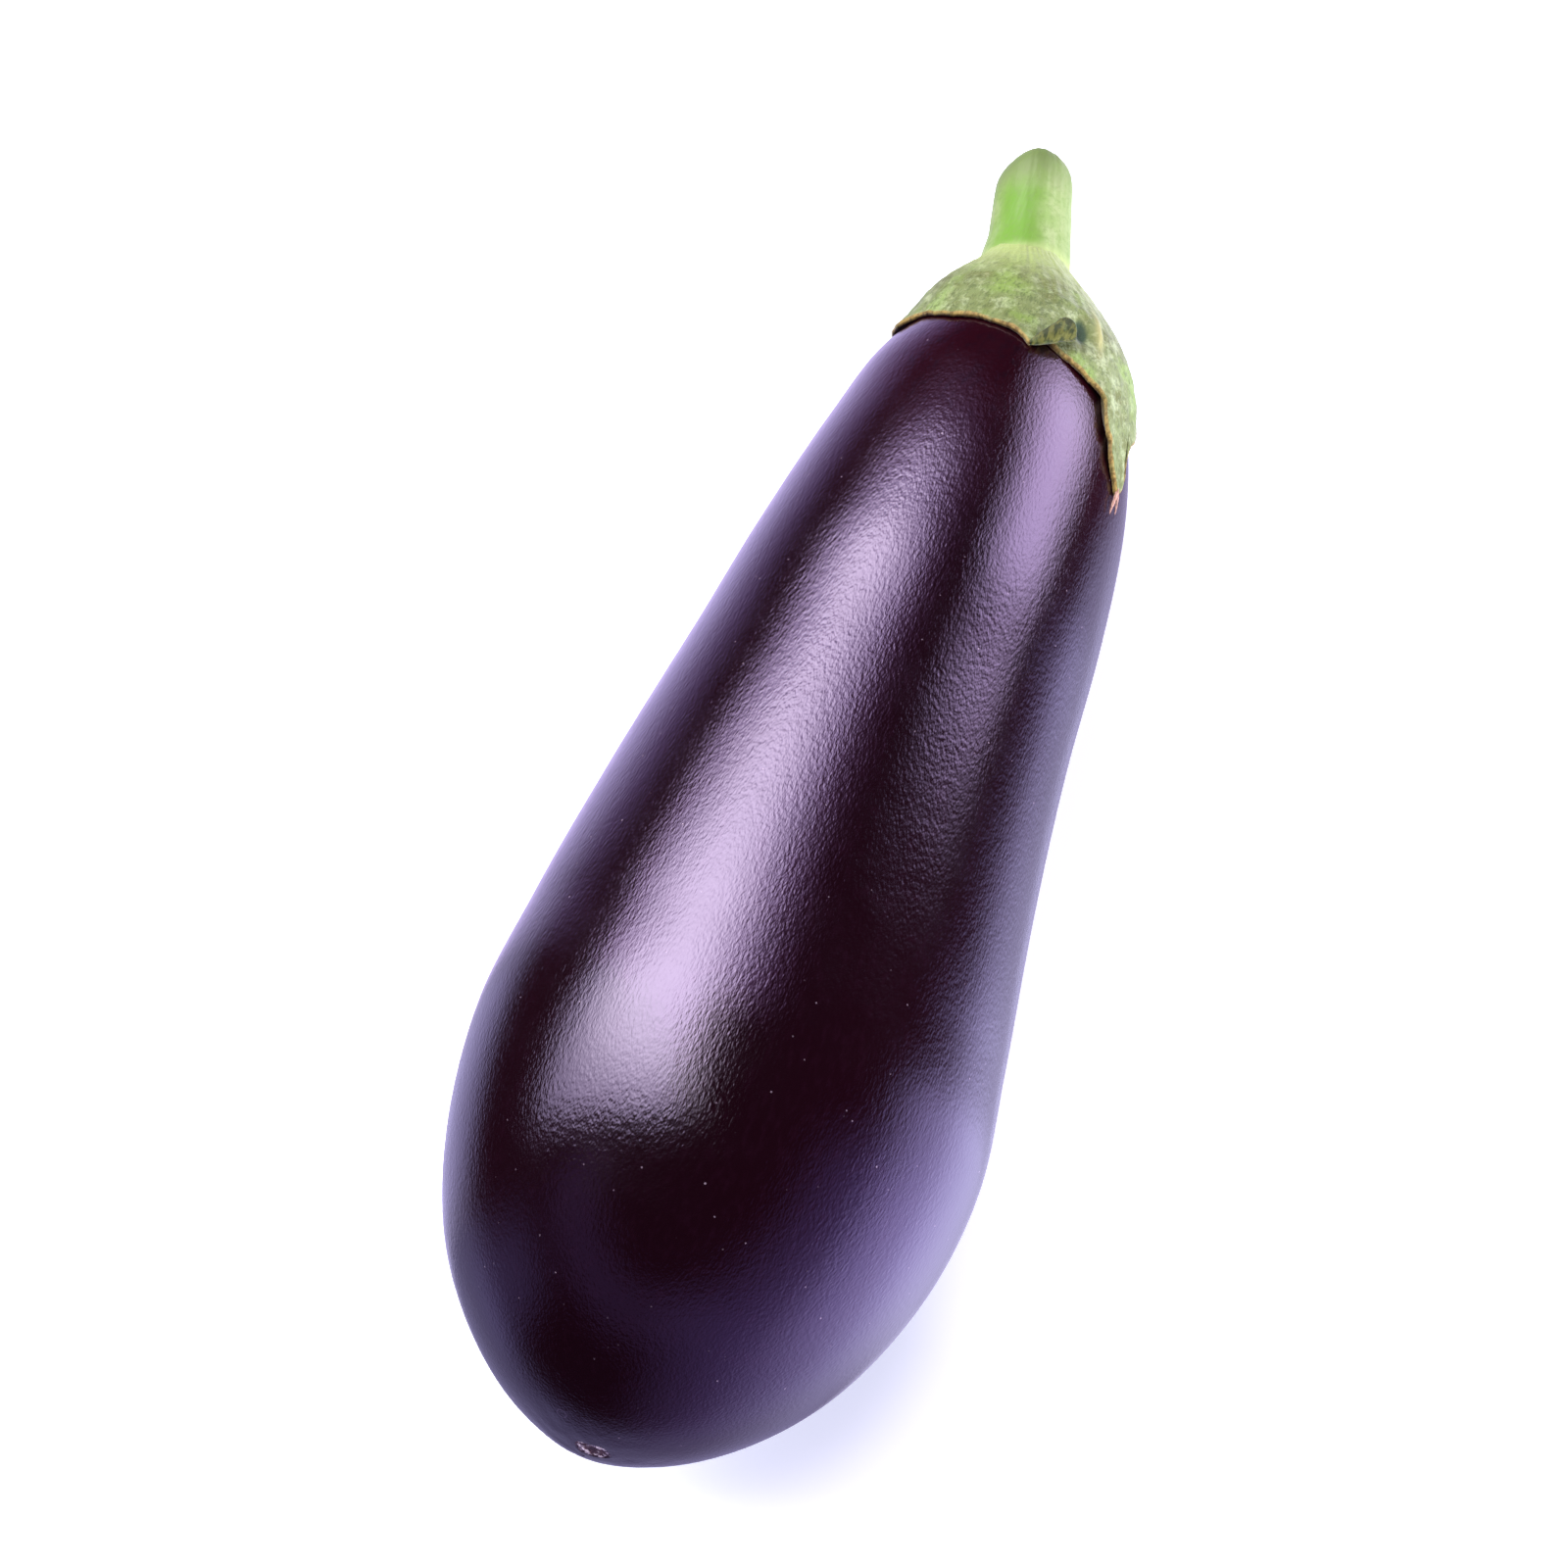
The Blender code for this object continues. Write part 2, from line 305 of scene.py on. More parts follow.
class Graph:
    """Makes a node tree with one short call for each node."""

    def __init__(self, tree):
        self.tree = tree

    def node(self, kind, inputs=None, **settings):
        made = self.tree.nodes.new(kind)
        for key, value in settings.items():
            setattr(made, key, value)
        for key, value in (inputs or {}).items():
            self.set(made.inputs[key], value)
        return made

    def set(self, socket, value):
        if isinstance(value, bpy.types.NodeSocket):
            self.tree.links.new(value, socket)
        else:
            socket.default_value = value

    def math(self, operation, a, b=0.0):
        return self.node("ShaderNodeMath", {0: a, 1: b}, operation=operation).outputs[0]

    def plus(self, a, b):
        return self.math("ADD", a, b)

    def minus(self, a, b):
        return self.math("SUBTRACT", a, b)

    def times(self, a, b):
        return self.math("MULTIPLY", a, b)

    def smooth(self, value, low, high):
        """0 below low and 1 above high, with a smooth step between."""
        values = {"Value": value, "From Min": low, "From Max": high}
        return self.node("ShaderNodeMapRange", values, interpolation_type="SMOOTHSTEP").outputs[0]

    def fade(self, value, low, high):
        """1 below low and 0 above high."""
        return self.minus(1.0, self.smooth(value, low, high))

    def scale(self, value, low, high, to_low, to_high):
        values = {"Value": value, "From Min": low, "From Max": high, "To Min": to_low, "To Max": to_high}
        return self.node("ShaderNodeMapRange", values).outputs[0]

    def mix(self, share, *colours):
        """The first colour where the share is 0, and the second where it is 1."""
        a, b = (c if isinstance(c, bpy.types.NodeSocket) else (*c, 1.0) for c in colours)
        return self.node("ShaderNodeMix", {0: share, 6: a, 7: b}, data_type="RGBA").outputs[2]

    def turn(self, colour, other, value, low, high, most=1.0):
        """Turns the colour into the other, up to that share, as the value rises from low to high."""
        share = self.smooth(value, low, high)
        return self.mix(share if most == 1.0 else self.times(share, most), colour, other)

    def noise(self, vector, scale, detail=2.0, roughness=0.5, distortion=0.0):
        values = {
            "Vector": vector, "Scale": scale, "Detail": detail,
            "Roughness": roughness, "Distortion": distortion,
        }
        return self.node("ShaderNodeTexNoise", values).outputs["Fac"]

    def attribute(self, name):
        return self.node("ShaderNodeAttribute", attribute_name=name).outputs["Fac"]

    def object_place(self, scale=(1.0, 1.0, 1.0)):
        """Object coordinates turned into the fruit's own directions, then stretched."""
        read = self.node("ShaderNodeTexCoord").outputs["Object"]
        own = self.node("ShaderNodeMapping", {"Vector": read, "Rotation": (FLANK_SLOPE, 0.0, 0.0)})
        return self.node("ShaderNodeMapping", {"Vector": own.outputs[0], "Scale": scale}).outputs[0]

    def dots(self, vector, scale, size, chosen, faintest):
        """A dot in some cells, each of its own strength. Its edge fades between the two sizes."""
        values = {"Vector": vector, "Scale": scale, "Randomness": 1.0}
        cells = self.node("ShaderNodeTexVoronoi", values, feature="F1")
        draw = self.node("ShaderNodeSeparateColor", {"Color": cells.outputs["Color"]})
        dot = self.fade(cells.outputs["Distance"], *size)
        dot = self.times(dot, self.smooth(draw.outputs[0], chosen, chosen + 0.04))
        return self.times(dot, self.scale(draw.outputs[1], 0.0, 1.0, faintest, 1.0))

    def bump(self, height, distance):
        return self.node("ShaderNodeBump", {"Height": height, "Distance": distance}).outputs[0]

    def near(self, vector, middle):
        """The distance from a point."""
        made = self.node("ShaderNodeVectorMath", {0: vector, 1: middle}, operation="DISTANCE")
        return made.outputs["Value"]


def new_material(name, plain=()):
    """A material whose Principled shader has those plain values: (material, graph, shader's inputs)."""
    made = bpy.data.materials.new(name)
    made.use_nodes = True
    inputs = made.node_tree.nodes["Principled BSDF"].inputs
    for socket, value in plain:
        inputs[socket].default_value = value
    return made, Graph(made.node_tree), inputs


def set_surface(material, shader):
    nodes = material.node_tree.nodes
    material.node_tree.links.new(shader.outputs[0], nodes["Material Output"].inputs["Surface"])


def own(point):
    """A point of the fruit's own frame in the coordinates that object_place gives."""
    return Matrix.Rotation(FLANK_SLOPE, 3, "X") @ laid(point)


# -------- settings


class SkinSettings(bpy.types.PropertyGroup):
    """The fruit's skin."""

    colour: FloatVectorProperty(
        name="Skin colour", description="The near-black purple of the ripe skin",
        default=(0.0042, 0.0005, 0.0012), size=3, subtype="COLOR", min=0.0, max=1.0,
    )
    neck_colour: FloatVectorProperty(
        name="Neck colour", description="The maroon that shows under the calyx",
        default=(0.0125, 0.0007, 0.0024), size=3, subtype="COLOR", min=0.0, max=1.0,
    )
    gloss_tint: FloatVectorProperty(
        name="Gloss tint", description="The lavender tint of the skin's highlights",
        default=(0.80, 0.64, 1.0), size=3, subtype="COLOR", min=0.0, max=1.0,
    )
    roughness: FloatProperty(
        name="Roughness", description="How wide the highlights spread",
        default=0.148, min=0.0, max=1.0,
    )
    ripple: FloatProperty(
        name="Ripple", description="The height of the skin's fine ripple",
        default=0.00006, min=0.0, unit="LENGTH",
    )
    unevenness: FloatProperty(
        name="Unevenness", description="How far the flesh swells and sinks under the skin",
        default=0.00022, min=0.0, unit="LENGTH",
    )
    scar_radius: FloatProperty(
        name="Scar radius", description="The corky scar at the blossom end",
        default=0.0027, min=0.0, unit="LENGTH",
    )


class CalyxSettings(bpy.types.PropertyGroup):
    """The green calyx."""

    colour: FloatVectorProperty(
        name="Calyx colour", description="The green of the sepals",
        default=(0.148, 0.192, 0.064), size=3, subtype="COLOR", min=0.0, max=1.0,
    )
    margin_colour: FloatVectorProperty(
        name="Margin colour", description="The tan of the dry margin",
        default=(0.340, 0.240, 0.070), size=3, subtype="COLOR", min=0.0, max=1.0,
    )
    thickness: FloatProperty(
        name="Thickness", description="Of the calyx where it lands on the shoulder",
        default=0.0016, min=0.0, unit="LENGTH",
    )
    bulge: FloatProperty(
        name="Bulge", description="How proud the flare stands of the shoulder",
        default=0.0040, min=0.0, unit="LENGTH",
    )


class StemSettings(bpy.types.PropertyGroup):
    """The cut stem."""

    colour: FloatVectorProperty(
        name="Stem colour", description="The fresh green of the stem",
        default=(0.200, 0.300, 0.085), size=3, subtype="COLOR", min=0.0, max=1.0,
    )
    cut_colour: FloatVectorProperty(
        name="Cut colour", description="The dry tan of the cut face",
        default=(0.250, 0.190, 0.090), size=3, subtype="COLOR", min=0.0, max=1.0,
    )
    radius: FloatProperty(
        name="Radius", description="Of the stem at its base",
        default=0.0076, min=0.0, unit="LENGTH",
    )


class StageSettings(bpy.types.PropertyGroup):
    """The floor, the light and the camera."""

    azimuth: FloatProperty(
        name="Azimuth", description="The camera's way round the fruit",
        default=radians(20.75), subtype="ANGLE",
    )
    elevation: FloatProperty(
        name="Elevation", description="The camera's height over the horizon",
        default=radians(77.5), subtype="ANGLE",
    )
    distance: FloatProperty(
        name="Distance", description="From the camera to the point that it looks at",
        default=0.6153, min=0.0, unit="LENGTH",
    )
    lens: FloatProperty(name="Lens", description="The camera's focal length in mm", default=85.0)
    light: FloatProperty(
        name="Light", description="The strength of the softboxes", default=1.0, min=0.0,
    )


# -------- the fruit


def blossom_relief(across, up, radius):
    """(height, mask, pale) of the corky scar at that place beside the pole."""
    x, y = across - SCAR_MIDDLE.x, up - SCAR_MIDDLE.y
    rough = noise_at(x, y, 0.0, 700.0)
    reach = hypot(x * 0.92, y * 1.35) * (1.0 + 0.38 * noise_at(x, y, 0.003, 420.0))
    mask = 1.0 - smoothstep(radius * 0.92, radius * 1.12, reach)
    rim = exp(-((reach - radius * 0.86) / (radius * 0.20)) ** 2)
    flakes = max(0.0, noise_at(x, y, 0.02, 1500.0) + 0.15)
    height = 0.00022 * rim * (0.5 + 0.8 * flakes) + mask * (-0.00030 + 0.00016 * rough)
    height += mask * 0.00012 * noise_at(x, y, 0.05, 2300.0)
    pale = mask * min(1.0, rim * (0.10 + 2.2 * flakes) + max(0.0, rough - 0.20))
    swell = -0.0003 * exp(-(reach / (radius * 2.4)) ** 2)
    return height + swell, mask, pale


def make_fruit_mesh(settings):
    """A sheet wrapped round the axis: uneven, scarred at one end and flattened where it rests."""
    bm = bmesh.new()
    scar = bm.verts.layers.float.new("scar")
    pale = bm.verts.layers.float.new("scar_pale")
    station = bm.verts.layers.float.new("station")
    rows = [BLOSSOM_REACH * i / BLOSSOM_ROWS for i in range(BLOSSOM_ROWS)]
    rest = OUTLINE.length - BLOSSOM_REACH
    rows += [BLOSSOM_REACH + rest * i / BODY_ROWS for i in range(BODY_ROWS + 1)]

    def place(vert, u, v):
        walked = rows[round(v * (len(rows) - 1))]
        turn = u * tau
        way = skin_point(walked, turn)
        slow = noise_at(way.x, way.y * 0.55, way.z, 22.0)
        flute = noise.noise(Vector((way.x, way.y * 0.16, way.z)) * 85.0 + Vector((3, 5, 7)))
        proud = settings.unevenness * (slow + 0.28 * flute) * smoothstep(0.0, 0.012, walked)
        vert[station] = way.y
        if walked < 2.5 * BLOSSOM_REACH:
            height, vert[scar], vert[pale] = blossom_relief(way.x, way.z, settings.scar_radius)
            proud += height
        return skin_point(walked, turn, proud)

    mapped_grid(bm, SKIN_SEGMENTS, len(rows) - 1, place)
    for vert in bm.verts:
        # The soft flesh gives where it meets the ground, over a rounded edge.
        vert.co.z = (vert.co.z + sqrt(vert.co.z**2 + FLESH_GIVE**2)) / 2
    return bm


def skin_material(settings):
    tint = (*settings.gloss_tint, 1.0)
    made, graph, surface = new_material("eggplant_skin", (("IOR", 1.70), ("Specular Tint", tint)))
    even = graph.object_place()
    along_grain = graph.object_place((1.0, 0.42, 1.0))
    station = graph.attribute("station")
    blotch = graph.noise(even, 38.0, 3.0)
    neck = graph.plus(station, graph.times(blotch, 0.030))
    colour = graph.turn(settings.colour, settings.neck_colour, neck, 0.165, 0.222)
    mottle = graph.noise(along_grain, 900.0, 2.0)
    colour = graph.turn(colour, MOTTLE, mottle, 0.45, 0.80)
    # Sparse pores, each a pale dot with a slight dip, and finer flecks.
    pore = graph.dots(even, 210.0, (0.026, 0.048), 0.70, 0.25)
    colour = graph.mix(pore, colour, PORE)
    colour = graph.mix(graph.dots(even, 700.0, (0.07, 0.14), 0.90, 0.1), colour, FLECK)
    # A faint ring and a small healed nick near the blossom end.
    ring = graph.minus(graph.near(even, own(skin_place(*RING_PLACE))), RING_RADIUS)
    ring = graph.fade(graph.math("ABSOLUTE", ring), 0.00004, 0.00013)
    colour = graph.mix(graph.times(ring, 0.35), colour, RING)
    nick = graph.near(even, own(skin_place(*NICK_PLACE)))
    colour = graph.mix(graph.fade(nick, 0.00030, 0.00060), colour, NICK)
    scar = graph.attribute("scar")
    cork = graph.noise(even, 2600.0, 3.0, 0.6)
    corky = graph.turn(CORK, CORK_RAISED, cork, 0.35, 0.65)
    crust = graph.plus(graph.attribute("scar_pale"), graph.times(cork, 0.35))
    colour = graph.mix(scar, colour, graph.turn(corky, CRUST, crust, 0.25, 0.75))
    graph.set(surface["Base Color"], colour)
    wear = graph.scale(graph.noise(even, 120.0, 3.0), 0.3, 0.7, settings.roughness - 0.02,
                       settings.roughness + 0.03)
    graph.set(surface["Roughness"], graph.plus(wear, graph.times(scar, 0.55)))
    ripple = graph.noise(along_grain, 2200.0, 1.0, 0.6)
    swell = graph.noise(along_grain, 520.0, 2.0)
    height = graph.plus(ripple, graph.times(swell, 0.5))
    height = graph.minus(height, graph.times(pore, 0.4))
    height = graph.plus(height, graph.times(graph.times(scar, cork), 4.0))
    graph.set(surface["Normal"], graph.bump(height, settings.ripple))
    return made


class EGGPLANT_OT_fruit(bpy.types.Operator):
    """Make the fruit with its glossy skin and the scar at its blossom end"""

    bl_idname = "eggplant.fruit"
    bl_label = "Fruit"

    def execute(self, context):
        settings = context.scene.eggplant_skin
        finish_piece("fruit_skin", make_fruit_mesh(settings), skin_material(settings), "fruit")
        return {"FINISHED"}


# -------- the calyx


NECK_GREEN = (0.335, 0.415, 0.150)  # where the calyx and the stem meet
OLIVE = (0.095, 0.115, 0.022)
SAGE = (0.280, 0.335, 0.175)
LIME = (0.185, 0.300, 0.050)
FUZZ_SHADE = (0.055, 0.080, 0.018)
SPECK = (0.360, 0.400, 0.215)
MARGIN_SHADE = (0.130, 0.080, 0.020)
UNDERSIDE = (0.060, 0.045, 0.015)
RIDGE = (0.400, 0.380, 0.150)
# painted shade: dark green in the dent at the roll's open end
HOLLOW_SHADE = (0.020, 0.048, 0.022)
ROLL_OUTSIDE = ((0.022, 0.032, 0.006), (0.105, 0.108, 0.022))
ROLL_PALE = (0.130, 0.170, 0.055)
# the roll's inner side: its green darkened as painted shade inside the cone
ROLL_INSIDE_SHADE = (0.030, 0.075, 0.030)
THREAD = ((0.520, 0.330, 0.270), (0.330, 0.160, 0.120))

CALYX_SEGMENTS = 400
CALYX_ROWS = 58             # on the outer side, from the stem to the margin
MM_PER_DEGREE = 0.42        # round the shoulder at the margin
FOOT = 0.0010               # how much wider the stem is at its foot
STEM_HEIGHT = 0.0024        # the calyx climbs the stem this far before it flares
KNEE = OUTLINE.reaching(0.2030)  # where the flare lands on the shoulder
FLARE_SHARE = 0.70          # of the rows down to there
WALL = 0.00070              # the margin's thickness
SKIN_GAP = 0.00015
END_SLANT = 0.00036         # the end face looks a little outwards

# One sepal's tip is rolled up into a little cone: round (degrees), along (mm), lift (mm) of its middle
# line from the closed tip to the open end, and the cone's radius at each.
ROLL_LINE = ((4.5, 196.9, 0.9), (11.8, 199.3, 2.1), (20.8, 202.8, 3.0))
ROLL_RADIUS = (0.0004, 0.0019, 0.0024)
ROLL_OPENS = (radians(-40), radians(238))
ROLL_WALL = 0.00045
# Dry threads hang from the tip of the long sepal: points on the skin, and the thread's radius.
THREADS = (
    (((58.4, 181.6, 0.7), (58.2, 179.6, 0.9), (56.2, 177.6, 0.7), (56.8, 175.6, 0.4)), 0.00034),
    (((59.6, 181.4, 0.6), (60.4, 179.4, 0.5), (60.2, 178.0, 0.5), (61.2, 176.9, 0.3)), 0.00026),
)


def closed_curve(points, count):
    """That many steps, evenly spaced by walked length, round a smooth closed curve through these."""
    pts = [Vector(p) for p in points]
    once_round = Vector((360.0, 0.0, 0.0))
    pts = [pts[-1] - once_round, *pts, pts[0] + once_round, pts[1] + once_round]
    fine = []
    for a, b, c, d in zip(pts, pts[1:], pts[2:], pts[3:]):
        for step in range(12):
            t = step / 12
            bend = (a * 2 - b * 5 + c * 4 - d) * t * t + (b * 3 - a - c * 3 + d) * t**3
            fine.append((b * 2 + (c - a) * t + bend) / 2)
    fine.append(fine[0] + once_round)
    walked = [0.0]
    for a, b in zip(fine, fine[1:]):
        run = b - a
        walked.append(walked[-1] + hypot(run.x * MM_PER_DEGREE, run.y))
    return [point_after(fine, walked, walked[-1] * k / count) for k in range(count + 1)]


def stem_foot(height, turn):
    """How much wider the stem is at its foot, most of all on the left."""
    return FOOT * (0.55 - 0.45 * sin(turn)) * (1.0 - smoothstep(0.0005, 0.0075, height))


def knee_thickness(turn, settings):
    """The calyx is thicker on the right, over the long sepal."""
    return settings.thickness + 0.0007 * max(0.0, sin(turn)) ** 2


def flare_point(turn, share, settings, stem_radius):
    """The flare's outer side: share 0 is on the stem, 1 is where it lands on the shoulder."""
    along, right, up = stem_axis()
    across = right * sin(turn) + up * cos(turn)
    climb = STEM_HEIGHT * (0.50 - 0.34 * sin(turn))
    foot = stem_radius + stem_foot(climb, turn)
    start = STEM_BASE + along * climb + across * (foot - 0.0003)
    handle = STEM_BASE - along * (0.0016 + 0.0008 * max(0.0, sin(turn))) + across * (foot + 0.0005)
    bulge = settings.bulge + 0.0012 * max(0.0, cos(turn + 1.0)) ** 3 - 0.0006 * max(0.0, sin(turn))
    tangent = skin_point(KNEE + 0.0085, turn, settings.thickness + bulge)
    knee = skin_point(KNEE, turn, knee_thickness(turn, settings))
    return bezier(start, handle, tangent, knee, share)


def patch(turn, station, middle, reach):
    """1 in the middle of a soft patch of the shoulder, falling off within that reach."""
    across = (turn - radians(middle[0])) * 0.019 / reach[0]
    return exp(-across**2 - ((station - middle[1] * MM) / reach[1]) ** 2)


def relief(point, turn):
    """The calyx's own bumps: long wrinkles that run to the sepals, and a fine felt."""
    long_way = Vector((sin(turn) * 24.0, point.y * 1000 * 0.28, cos(turn) * 24.0)) * 0.62
    fine = point * 1000
    wrinkle = noise.noise(long_way + Vector((11, 3, 5))) + 0.6 * noise.noise(fine * 0.55)
    felt = noise.noise(fine * 1.5) * 0.5 + noise.noise(fine * 3.3) * 0.35
    return 0.00018 * wrinkle + 0.00009 * felt


def add_cap(bm, settings, layers, stem_radius):
    """One closed cap: its outer side is the flare and the sepals, its inner side hugs the fruit."""
    edge_layer, under_layer, hollow_layer, ridge_layer, _, _, _, collar_layer = layers
    margin = closed_curve(MARGIN, CALYX_SEGMENTS)
    rings = 2 * CALYX_ROWS
    edges = []
    for column in margin:
        turn = radians(column.x)
        notch = noise_at(sin(turn), cos(turn), 0.3, 11.0)
        notch += 0.6 * noise_at(sin(turn), cos(turn), 0.7, 31.0)
        notch += 0.5 * noise_at(sin(turn), cos(turn), 0.9, 67.0)
        edges.append((turn, OUTLINE.reaching(column.y * MM + 0.00020 * notch), column.z * MM))

    def place(vert, u, v):
        ring = round(v * rings)
        turn_edge, walked_edge, proud_edge = edges[round(u * CALYX_SEGMENTS)]
        # Columns start evenly round the stem and lean over to their place on the margin.
        turn_start = between(turn_edge, radians(MARGIN[0][0]) + u * tau, 0.35)
        outer = ring <= CALYX_ROWS
        t = ring / CALYX_ROWS if outer else (rings - ring) / CALYX_ROWS
        turn = between(turn_start, turn_edge, smoothstep(0.05, 0.95, t))
        vert[edge_layer] = max(0.0, (1.0 - t) / (1.0 - FLARE_SHARE) * max(KNEE - walked_edge, 0.004))
        vert[collar_layer] = 1.0 - smoothstep(0.16, 0.60, t)
        if ring == 0:
            return STEM_BASE + stem_axis()[0] * STEM_HEIGHT
        if ring == rings:
            return skin_point(OUTLINE.length, 0.0, SKIN_GAP)
        if outer:
            if t < FLARE_SHARE:
                point = flare_point(turn, t / FLARE_SHARE, settings, stem_radius)
            else:
                share = (t - FLARE_SHARE) / (1.0 - FLARE_SHARE)
                thickness = knee_thickness(turn, settings)
                proud = between(thickness, proud_edge, smoothstep(0.0, 1.0, share))
                point = skin_point(between(KNEE, walked_edge, share), turn, proud)
            # A real dent, which the material also paints dark green as shade.
            vert[hollow_layer] = patch(turn, point.y, (26.6, 205.0), (0.0014, 0.0025))
            vert[ridge_layer] = patch(turn, point.y, (37.0, 207.0), (0.0008, 0.0040))
            lift = relief(point, turn) - 0.0016 * vert[hollow_layer] + 0.0005 * vert[ridge_layer]
            lift += 0.0004 * patch(turn, point.y, (22.0, 209.4), (0.0040, 0.0009))
            return point + (point - Vector((0, 0.200, 0))).normalized() * lift
        # The margin's slanted end face keeps the margin's colour, and the side behind it is in shade.
        vert[edge_layer] = vert[collar_layer] = 0.0
        if ring == CALYX_ROWS + 1:
            slant = END_SLANT * (1.0 + 0.9 * noise_at(turn * 5.0, 0.0, 4.1))
            return skin_point(walked_edge - slant, turn, max(proud_edge - WALL, SKIN_GAP))
        vert[under_layer] = 1.0
        share = 1.0 - t
        walked = between(walked_edge, OUTLINE.length, share**1.3)
        proud = between(proud_edge - WALL, SKIN_GAP, smoothstep(0.0, 0.12, share))
        return skin_point(walked, turn, max(proud, SKIN_GAP))

    mapped_grid(bm, CALYX_SEGMENTS, rings, place)


def add_roll(bm, layers):
    """The rolled-up sepal tip: a thin open cone, with its inner side to be seen at the open end."""
    roll_layer, dark_layer = layers[4:6]
    a, b, c = (skin_place(*point) for point in ROLL_LINE)
    rows, steps = 44, 30

    def place(vert, u, v):
        outer = v * 2 * (steps + 1) < steps + 0.5
        step = round(v * 2 * (steps + 1))
        step = step if outer else (0 if step == 2 * (steps + 1) else 2 * steps + 1 - step)
        share = step / steps
        middle = a * (1 - u) ** 2 + b * 2 * u * (1 - u) + c * u * u
        run = ((b - a) * (1 - u) + (c - b) * u).normalized()
        out = (middle - Vector((0, middle.y - 0.006, 0))).normalized()
        out = (out - run * out.dot(run)).normalized()
        front = run.cross(out)
        if front.y > 0:
            front = -front
        radius = between(between(ROLL_RADIUS[0], ROLL_RADIUS[1], u),
                              between(ROLL_RADIUS[1], ROLL_RADIUS[2], u), u)
        turn = between(*ROLL_OPENS, share)
        crumple = noise_at(share * 5.0, u * 4.0, 1.7)
        radius *= 1.0 + 0.10 * crumple + 0.10 * sin(share * 9.0 + u * 2.0) * u
        # The open end is cut back unevenly, and the wall thins away to nothing at both ends.
        middle += run * u**3 * (0.0005 * sin(2.4 * turn + 0.5) - 0.0012 * (1 - cos(turn)))
        wall = 0.0 if outer else ROLL_WALL * smoothstep(0.0, 0.08, u) * smoothstep(0.0, 0.05, 1.0 - u)
        vert[roll_layer] = 1.0
        # The inner side is painted darker in the material, as shade inside the cone.
        vert[dark_layer] = 0.0 if outer else 1.0
        radius = max(radius - wall, 0.00004)
        return middle + (front * sin(turn) - out * cos(turn)) * radius

    mapped_grid(bm, rows, 2 * (steps + 1), place)


def add_thread(bm, line, size, layers):
    """A dry thread: a thin twisted tube that tapers to nothing at its end."""
    dry_layer = layers[6]
    a, b, c, d = (skin_place(*point) for point in line)

    def place(vert, u, v):
        vert[dry_layer] = 1.0
        middle = bezier(a, b, c, d, u)
        ahead, behind = (bezier(a, b, c, d, t) for t in (min(u + 0.02, 1.0), max(u - 0.02, 0.0)))
        run = (ahead - behind).normalized()
        side = run.cross(Vector((0.3, 0.0, 1.0))).normalized()
        other = side.cross(run)
        turn = v * tau + 2.0 * u
        crumple = 1.0 + 0.3 * noise_at(u * 9.0, size, 0)
        radius = size * min(1.0, 8.0 * u) * (1.0 - u**3) * crumple
        return middle + (side * cos(turn) + other * sin(turn) * 0.55) * radius

    mapped_grid(bm, 28, 10, place)


def make_calyx_mesh(settings, stem_radius):
    bm = bmesh.new()
    names = ("from_edge", "under", "hollow", "ridge", "roll", "dark", "dry", "collar")
    layers = [bm.verts.layers.float.new(name) for name in names]
    add_cap(bm, settings, layers, stem_radius)
    add_roll(bm, layers)
    for line, size in THREADS:
        add_thread(bm, line, size, layers)
    return bm


